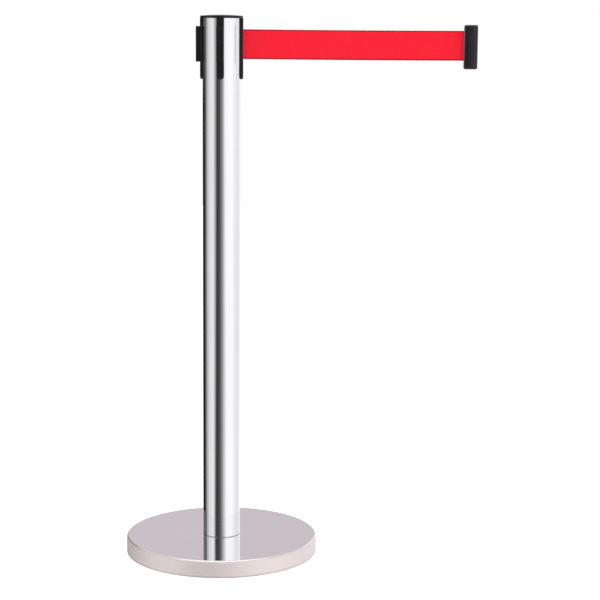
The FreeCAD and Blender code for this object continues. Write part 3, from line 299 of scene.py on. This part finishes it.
def plated():
    """Zinc plating: a dull bright grey with a faint warm bloom and fine tool marks."""
    look = Look("zinc_plated_steel", (0.62, 0.63, 0.65), metallic=1.0, roughness=0.32)
    cloud = look.noise(60, 5, 0.6)
    spangle = look.cells(700)
    look.shade(Base_Color=look.mix(look.between(cloud, 0.35, 0.7), (0.64, 0.65, 0.67), (0.60, 0.57, 0.49)))
    bloom = look.between(cloud, 0.4, 0.8, 0.0, 0.1)
    look.shade(Roughness=look.plus(look.between(spangle, 0.1, 0.8, 0.24, 0.36), bloom))
    look.bump(look.streaks((600, 600, 6000), 4, 0.7), 3 * MICRON, 0.6)
    return look.material


def spring_strip():
    """Blued spring steel with rolling lines round the strip."""
    look = Look("spring_blued_steel", (0.30, 0.32, 0.36), metallic=1.0, roughness=0.28)
    rolled = look.streaks((300, 300, 7000), 4, 0.7)
    look.shade(Base_Color=look.tones(look.noise(120, 4), (0.27, 0.30, 0.37), (0.36, 0.34, 0.32)))
    look.shade(Roughness=look.between(rolled, 0.3, 0.75, 0.20, 0.40))
    look.bump(rolled, 3 * MICRON, 0.6)
    return look.material


def sintered():
    """Sintered bronze: open pores, darkened with painted shade, in a mottled yellow metal."""
    look = Look("bush_sintered_bronze", (0.72, 0.55, 0.27), metallic=1.0, roughness=0.38)
    pores = look.cells(2600)
    cloud = look.noise(300, 4)
    pore_shade = look.between(pores, 0.0, 0.22, 1.0, 0.0)
    tone = look.tones(cloud, (0.74, 0.57, 0.29), (0.60, 0.43, 0.20))
    # Painted shade: the pores are darkened as if shade fell in them.
    look.shade(Base_Color=look.mix(look.times(pore_shade, 0.7), tone, (0.20, 0.13, 0.06)))
    look.shade(Roughness=look.spread(cloud, 0.30, 0.46))
    look.bump(pores, 20 * MICRON, 0.5)
    return look.material


def blackened():
    """Black oxide that is worn through in small spots."""
    look = Look("screw_black_oxide", (0.03, 0.03, 0.035), metallic=0.6, roughness=0.36)
    cloud = look.noise(420, 4)
    worn = look.between(look.noise(900, 5, 0.75), 0.62, 0.72)
    tone = look.tones(cloud, (0.026, 0.026, 0.030), (0.045, 0.044, 0.046))
    look.shade(Base_Color=look.mix(look.times(worn, 0.4), tone, (0.22, 0.21, 0.20)))
    look.shade(Roughness=look.spread(cloud, 0.28, 0.44))
    look.bump(look.noise(2600, 3), 6 * MICRON, 0.5)
    return look.material


def concrete():
    """Cast concrete: sand, buried stones and air holes, which are darkened with painted shade."""
    look = Look("weight_cast_concrete", (0.42, 0.41, 0.39), metallic=0.0, roughness=0.88)
    sand = look.noise(700, 6, 0.7)
    holes = look.between(look.cells(260), 0.0, 0.12, 1.0, 0.0)
    tone = look.tones(look.noise(16, 5), (0.45, 0.44, 0.415), (0.36, 0.35, 0.335))
    grit = look.mix(look.between(sand, 0.35, 0.7), tone, (0.52, 0.50, 0.46))
    # Painted shade: the air holes are darkened as if shade fell in them.
    look.shade(Base_Color=look.mix(look.times(holes, 0.75), grit, (0.14, 0.135, 0.13)))
    look.shade(Roughness=look.spread(sand, 0.80, 0.95))
    look.bump(sand, 160 * MICRON, 0.7)
    look.bump(look.cells(120), 120 * MICRON, 0.4)
    look.bump(look.math("SUBTRACT", 1.0, holes), 500 * MICRON, 0.7)
    return look.material


def rubber():
    """Rubber with fine moulded rings and dust on it."""
    look = Look("foot_rubber", (0.03, 0.03, 0.03), metallic=0.0, roughness=0.78)
    rings = look.math("SINE", look.times(look.radius(), 2 * math.pi / RUBBER_PITCH))
    fine = look.noise(1600, 4)
    dust = look.between(look.noise(90, 5, 0.7), 0.52, 0.74)
    look.shade(Base_Color=look.mix(look.times(dust, 0.5), (0.026, 0.026, 0.027), (0.085, 0.080, 0.074)))
    look.shade(Roughness=look.spread(fine, 0.70, 0.88))
    look.bump(look.between(rings, -1.0, 1.0), 120 * MICRON, 0.6)
    look.bump(fine, 30 * MICRON, 0.5)
    return look.material


LOOKS = {
    "tube_steel": polished_tube(),
    "base_steel": polished_base(),
    "concrete": concrete(),
    "rubber": rubber(),
    "zinc_steel": plated(),
    "spring_steel": spring_strip(),
    "bush_brass": sintered(),
    "screw_black": blackened(),
    "black_plastic": moulded("head_black_plastic", (0.006, 0.006, 0.007), (0.009, 0.009, 0.010),
                             roughness=(0.26, 0.38), grain=2300, depth=6 * MICRON),
    "clip_plastic": moulded("clip_black_plastic", (0.009, 0.006, 0.009), (0.013, 0.009, 0.013),
                            roughness=(0.16, 0.24), grain=2300, depth=3 * MICRON, shine=0.7),
    "inner_plastic": moulded("cassette_dark_plastic", (0.050, 0.050, 0.055), (0.068, 0.068, 0.072),
                             roughness=(0.50, 0.66), grain=1500, depth=20 * MICRON),
    "spool_plastic": moulded("spool_pale_plastic", (0.66, 0.66, 0.63), (0.74, 0.74, 0.72),
                             roughness=(0.36, 0.50), grain=1500, depth=10 * MICRON),
    "belt_webbing": webbing(),
}

for part in frame["record"]["subparts"]:
    mesh = nodes[part["node"]].data
    mesh.materials.clear()
    mesh.materials.append(LOOKS[part["material_slot"]])


# ---------------------------------------------------------------- belt

belt_low, belt_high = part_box("belt_run")
pin_low, pin_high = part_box("belt_pin")
guide_low, guide_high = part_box("guide_pins")
outlet_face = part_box("belt_outlet")[1].x
clip_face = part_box("clip_body")[0].x

BELT_SHEET = 0.5 * MM
BELT_HALF_WIDTH = (belt_high.z - belt_low.z) / 2
BELT_MIDDLE = (belt_high.z + belt_low.z) / 2
GUIDE_X = (guide_low.x + guide_high.x) / 2
GUIDE_R = (guide_high.x - guide_low.x) / 2
GUIDE_Y = guide_high.y - GUIDE_R
PIN = (pin_low + pin_high) / 2
PIN_R = (pin_high.x - pin_low.x) / 2
ROLL_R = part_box("belt_roll")[1].x
ROLL_GAP = 0.1 * MM
FLANGE_OVERHANG = 11.17 * MM
HUB_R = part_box("upper_flange")[1].x - FLANGE_OVERHANG

# The upper half of a tape's section: height as a share of the half width, and thickness as a share of
# the sheet's.
HALF_SECTION = [
    (0.0, 0.96), (0.28, 0.96), (0.55, 0.96), (0.80, 0.96), (0.95, 1.0), (0.985, 0.85), (1.0, 0.45),
]
SECTION = [(-level, thick) for level, thick in reversed(HALF_SECTION[1:])] + HALF_SECTION

# How far in from each end the support ring is, as a share of the first step.
END_RING = 0.01
# How much more a tape sways at its upper edge than at its middle.
TWIST = 0.35


def arc(middle, radius, start, end, steps):
    """Points on an arc, from one angle to another in degrees."""
    angles = [math.radians(start + (end - start) * i / steps) for i in range(steps + 1)]
    return [Vector((middle[0] + radius * math.cos(a), middle[1] + radius * math.sin(a))) for a in angles]


def straight(start, end, steps):
    start, end = Vector(start), Vector(end)
    return [start.lerp(end, i / steps) for i in range(steps + 1)]


def tape(name, path, sheet, half_width, wave=None):
    """A woven tape that stands on edge along a path in plan, as a closed mesh with soft edges."""
    ring = SECTION + [(level, -thick) for level, thick in reversed(SECTION)]
    # A ring of points just inside each end keeps the end faces from bending the shading near them.
    second, second_last = path[0].lerp(path[1], END_RING), path[-1].lerp(path[-2], END_RING)
    path = [path[0], second, *path[1:-1], second_last, path[-1]]
    points, faces = [], []
    for i, point in enumerate(path):
        before, after = path[max(i - 1, 0)], path[min(i + 1, len(path) - 1)]
        along = (after - before).normalized()
        side = Vector((-along.y, along.x))
        sway, drop = wave(point) if wave else (0.0, 0.0)
        for level, thick in ring:
            spot = point + side * (thick * sheet / 2 + sway * (1 + TWIST * level))
            points.append((spot.x, spot.y, BELT_MIDDLE + level * half_width + drop))
    count = len(ring)
    for i in range(len(path) - 1):
        for j in range(count):
            k = (j + 1) % count
            faces.append((i * count + j, i * count + k, (i + 1) * count + k, (i + 1) * count + j))
    last = (len(path) - 1) * count
    for j in range(count // 2 - 1):
        k = count - 1 - j
        faces.append((j + 1, j, k, k - 1))
        faces.append((last + j, last + j + 1, last + k - 1, last + k))
    mesh = bpy.data.meshes.new(name)
    mesh.from_pydata(points, [], faces)
    mesh.update()
    # The faces that close the two ends come last and stay flat.
    for polygon in mesh.polygons:
        polygon.use_smooth = polygon.index < last
    piece = bpy.data.objects.new(name, mesh)
    bpy.context.scene.collection.objects.link(piece)
    mesh.materials.append(LOOKS["belt_webbing"])
    return piece


# The belt that shows runs from between the guide pins to the clip, then round the pin in the clip.
# It is three stretches, which meet at the seams.
RUN_START = GUIDE_X - 1.5 * MM
FIRST_SEAM = outlet_face + 35.0 * MM
LAST_SEAM = clip_face - 53.5 * MM

# The belt's bow from side to side between the outlet and the clip, as a wave, and its droop.
BOW = 0.35 * MM
BOW_HALF_WAVES = 2.2
BOW_PHASE = 0.4
DROOP = 0.35 * MM

# The loop round the clip's pin: its play, how far before it the belt stops being straight, a point on
# the way, and the angles, in degrees, at which the loop starts and through which it goes.
LOOP_PLAY = 0.05 * MM
STRAIGHT_STOPS = 0.75 * MM
ON_THE_WAY = (0.25 * MM, -0.12 * MM)
LOOP_FROM = 191
LOOP_THROUGH = 336


def slack(point):
    """A faint bow and droop of the belt between the outlet and the clip."""
    share = min(max((point.x - outlet_face) / (clip_face - outlet_face), 0.0), 1.0)
    swell = math.sin(math.pi * share)
    return BOW * swell * math.sin(BOW_HALF_WAVES * math.pi * share + BOW_PHASE), -DROOP * swell


def shown(name, path):
    """One stretch of the belt that shows, in place of the plain belt run, which is hidden."""
    piece = tape(name, path, BELT_SHEET, BELT_HALF_WIDTH, slack)
    piece.visible_glossy = False
    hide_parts("belt_run")
    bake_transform(piece)


loop_r = PIN_R + LOOP_PLAY + BELT_SHEET / 2
by_loop = PIN.x - loop_r
into_clip = straight((clip_face, 0.0), (by_loop - STRAIGHT_STOPS, 0.0), steps=6)[1:]
round_pin = [Vector((by_loop - ON_THE_WAY[0], ON_THE_WAY[1]))]
round_pin += arc(PIN.xy, loop_r, LOOP_FROM, LOOP_FROM + LOOP_THROUGH, steps=44)
shown("belt_first", straight((RUN_START, 0.0), (FIRST_SEAM, 0.0), steps=28))
shown("belt_last", straight((LAST_SEAM, 0.0), (clip_face, 0.0), steps=36) + into_clip + round_pin)
shown("belt_middle", straight((FIRST_SEAM, 0.0), (LAST_SEAM, 0.0), steps=180))

# The slanted stretch inside the head, off the roll and round a guide pin. It is a little thinner and
# narrower than the belt, so it lies inside the ends of its neighbours.
LEAD_THINNER = 0.96
LEAD_INSET = 0.05 * MM

leave_r = ROLL_R + ROLL_GAP + BELT_SHEET / 2
guide = Vector((GUIDE_X, -GUIDE_Y))
turn = math.atan2(guide.y, guide.x) - math.acos((leave_r + GUIDE_Y) / guide.length)
outward = Vector((math.cos(turn), math.sin(turn)))
bend = arc(guide, GUIDE_Y, start=math.degrees(turn) + 180, end=90, steps=10)
lead_path = straight(outward * leave_r, guide - outward * GUIDE_Y, steps=16) + bend[1:]
lead = tape("belt_lead", lead_path, BELT_SHEET * LEAD_THINNER, BELT_HALF_WIDTH - LEAD_INSET)
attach(lead, "post")

# The wound belt: one spiral, a sheet's thickness further out with each turn. The tape is a hair thinner
# than that, so its turns don't touch.
WOUND_THINNER = 0.94
STEPS_PER_TURN = 56

hub = HUB_R + ROLL_GAP + BELT_SHEET / 2
rim = leave_r - ROLL_GAP
turns = (rim - hub) / BELT_SHEET
steps = int(turns * STEPS_PER_TURN)
spiral = []
for i in range(steps + 1):
    share = i / steps
    angle = turn - 2 * math.pi * turns * (1 - share)
    reach = hub + (rim - hub) * share
    spiral.append(Vector((reach * math.cos(angle), reach * math.sin(angle))))
wound = tape("belt_wound", spiral, BELT_SHEET * WOUND_THINNER, BELT_HALF_WIDTH)
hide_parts("belt_roll")
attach(wound, "spool")


# ---------------------------------------------------------------- floor, light and camera

CAMERA_AT = Vector((0.1971, -2.8, 0.8752))
CAMERA_YAW, CAMERA_PITCH, CAMERA_ROLL = -0.0232, 0.1552, 0.0074
FOCAL_MM = 100.95
SENSOR_MM = 36
TO_CAMERA = math.atan2(CAMERA_AT.y, CAMERA_AT.x)

# The soft boxes and dark flags round the object: degrees from the camera's side, with the right
# positive and the left negative, and brightness.
PANELS = [
    (-180, 0.008), (-134, 0.008), (-116, 0.11), (-97, 0.50), (-79, 0.75), (-57, 0.82), (-50, 0.75),
    (-44, 0.42), (-39, 0.12), (-33, 0.045), (-23, 0.045), (-14, 0.07), (0, 0.21), (13, 0.53), (29, 0.95),
    (40, 0.99), (64, 1.0), (90, 0.86), (115, 0.78), (140, 0.90), (160, 1.0), (170, 0.9), (180, 0.03),
]
PANEL_BLUE = 1.01

# The even wall behind the object and the softened flag both fade in over this rise, in degrees.
WALL_RISE = (-2.6, 0.5)
# Where the wall starts on either side: 0 is in front of the object, 1 straight behind it.
WALL_SPAN = (0.86, 0.93)
WALL_COLOUR = (0.594, 0.544, 0.582)
# The end of the softened flag, as a share of a whole turn from behind round by the left, and its brightness.
FLAG_ENDS = (0.20, 0.15)
FLAG_SOFTENED = 0.13

# What lies over the panels: the degrees above the horizon where it starts and is complete, and its colour.
LAYERS = [
    (26, 36, (0.66, 0.645, 0.65)),
    (56, 68, (1.25, 1.23, 1.23)),
    (-38, -62, (0.66, 0.63, 0.63)),
]

STUDIO_STRENGTH = 1.01
EVEN_LIGHT = (1.0, 0.985, 0.99)
WHITE = (1.0, 1.0, 1.0)

FLOOR_RADII = [0.3, 0.8, 2.0, 6.0]
FLOOR_SIDES = 96
FLOOR_GLOW = 0.80

KEY_AT = (0.5, -2.6, 1.5)
KEY_AIM = (0.15, 0, 0.6)
KEY_WIDTH, KEY_HEIGHT = 1.6, 1.8
KEY_WATTS = 8.0


def rise(degrees):
    """The height of a direction that is so many degrees above the horizon."""
    return math.sin(math.radians(degrees))


def make_world():
    """A studio: soft boxes and dark flags stand round the object, under an even pale ceiling.

    The camera sees plain white, and dull surfaces are lit evenly from all round.
    """
    world = bpy.data.worlds.new("studio")
    bpy.context.scene.world = world
    world.use_nodes = True
    world.node_tree.nodes.clear()
    graph = Graph(world.node_tree)

    def ease(value, low, high):
        """0 below low, 1 above high; or the other way round if low is the greater."""
        return graph.between(value, low, high, curve="SMOOTHSTEP")

    direction = graph.node("ShaderNodeTexCoord").outputs["Generated"]
    x, y, level = graph.node("ShaderNodeSeparateXYZ", direction).outputs
    from_camera = graph.math("SUBTRACT", graph.math("ARCTAN2", y, x), TO_CAMERA)
    # From 0 behind the object, round by its left, to 1 behind it again.
    share = graph.math("FRACT", graph.plus(graph.math("DIVIDE", from_camera, 2 * math.pi), 0.5))
    # From 0 in front of the object to 1 straight behind it, on either side.
    behind = graph.times(graph.apart(share, 0.5), 2.0)

    panels = graph.node("ShaderNodeValToRGB", share)
    ramp = panels.color_ramp
    ramp.interpolation = "EASE"
    while len(ramp.elements) < len(PANELS):
        ramp.elements.new(0.5)
    for element, (angle, glow) in zip(ramp.elements, PANELS):
        element.position = (angle + 180) / 360
        element.color = (glow, glow, glow * PANEL_BLUE, 1)

    # Above the horizon the flag behind on the left is only grey, or the base's top looks black from
    # some sides.
    upper = ease(level, *map(rise, WALL_RISE))
    grey = graph.times(graph.times(upper, ease(share, *FLAG_ENDS)), FLAG_SOFTENED)
    softened = graph.mix(1.0, panels.outputs[0], grey, how="LIGHTEN")
    lit = graph.mix(graph.times(ease(behind, *WALL_SPAN), upper), softened, WALL_COLOUR)
    for start, end, colour in LAYERS:
        lit = graph.mix(ease(level, rise(start), rise(end)), lit, colour)

    ray = graph.node("ShaderNodeLightPath").outputs

    def background(colour, strength):
        return graph.node("ShaderNodeBackground", colour, strength).outputs[0]

    def choose(kind, usual, special):
        return graph.node("ShaderNodeMixShader", ray[kind], usual, special).outputs[0]

    lighting = choose("Is Diffuse Ray", background(lit, STUDIO_STRENGTH), background(EVEN_LIGHT, 1.0))
    graph.node("ShaderNodeOutputWorld", choose("Is Camera Ray", lighting, background(WHITE, 1.0)))


def make_floor():
    """A pale round floor, bright enough to pass into the white backdrop."""
    mesh = bpy.data.meshes.new("floor")
    around = range(FLOOR_SIDES)
    angles = [2 * math.pi * i / FLOOR_SIDES for i in around]
    points = [(0, 0, 0)] + [(r * math.cos(a), r * math.sin(a), 0) for r in FLOOR_RADII for a in angles]
    faces = [(0, 1 + i, 1 + (i + 1) % FLOOR_SIDES) for i in around]
    for ring in range(len(FLOOR_RADII) - 1):
        a, b = 1 + ring * FLOOR_SIDES, 1 + (ring + 1) * FLOOR_SIDES
        faces += [(a + i, b + i, b + (i + 1) % FLOOR_SIDES, a + (i + 1) % FLOOR_SIDES) for i in around]
    mesh.from_pydata(points, [], faces)
    floor = bpy.data.objects.new("floor", mesh)
    bpy.context.scene.collection.objects.link(floor)
    floor.visible_glossy = False
    look = Look("floor_pale", (0.8, 0.8, 0.8), metallic=0.0, roughness=0.9,
                Specular_IOR_Level=0.0, Emission_Color=WHITE, Emission_Strength=FLOOR_GLOW)
    look.shade(Base_Color=look.tones(look.noise(180, 3), (0.70, 0.70, 0.70), (0.68, 0.68, 0.68)))
    mesh.materials.append(look.material)


def make_key_light():
    data = bpy.data.lights.new("key", "AREA")
    data.shape = "RECTANGLE"
    data.size, data.size_y = KEY_WIDTH, KEY_HEIGHT
    data.energy = KEY_WATTS
    light = bpy.data.objects.new("key", data)
    bpy.context.scene.collection.objects.link(light)
    light.location = KEY_AT
    light.rotation_mode = "QUATERNION"
    light.rotation_quaternion = (Vector(KEY_AIM) - Vector(KEY_AT)).to_track_quat("-Z", "Y")
    light.visible_glossy = False


def make_camera():
    data = bpy.data.cameras.new("camera")
    data.lens = FOCAL_MM
    data.sensor_width = SENSOR_MM
    data.clip_start, data.clip_end = 0.05, 50
    camera = bpy.data.objects.new("camera", data)
    bpy.context.scene.collection.objects.link(camera)
    flat = math.cos(CAMERA_PITCH)
    ahead = Vector((math.sin(CAMERA_YAW) * flat, math.cos(CAMERA_YAW) * flat, -math.sin(CAMERA_PITCH)))
    level = Vector((math.cos(CAMERA_YAW), -math.sin(CAMERA_YAW), 0))
    right = level * math.cos(CAMERA_ROLL) + level.cross(ahead) * math.sin(CAMERA_ROLL)
    up = right.cross(ahead)
    camera.matrix_world = Matrix((
        (right.x, up.x, -ahead.x, CAMERA_AT.x),
        (right.y, up.y, -ahead.y, CAMERA_AT.y),
        (right.z, up.z, -ahead.z, CAMERA_AT.z),
        (0, 0, 0, 1),
    ))
    bpy.context.scene.camera = camera


make_world()
make_floor()
make_key_light()
make_camera()
bpy.context.scene.view_settings.view_transform = "Standard"
bpy.context.scene.view_settings.look = "None"
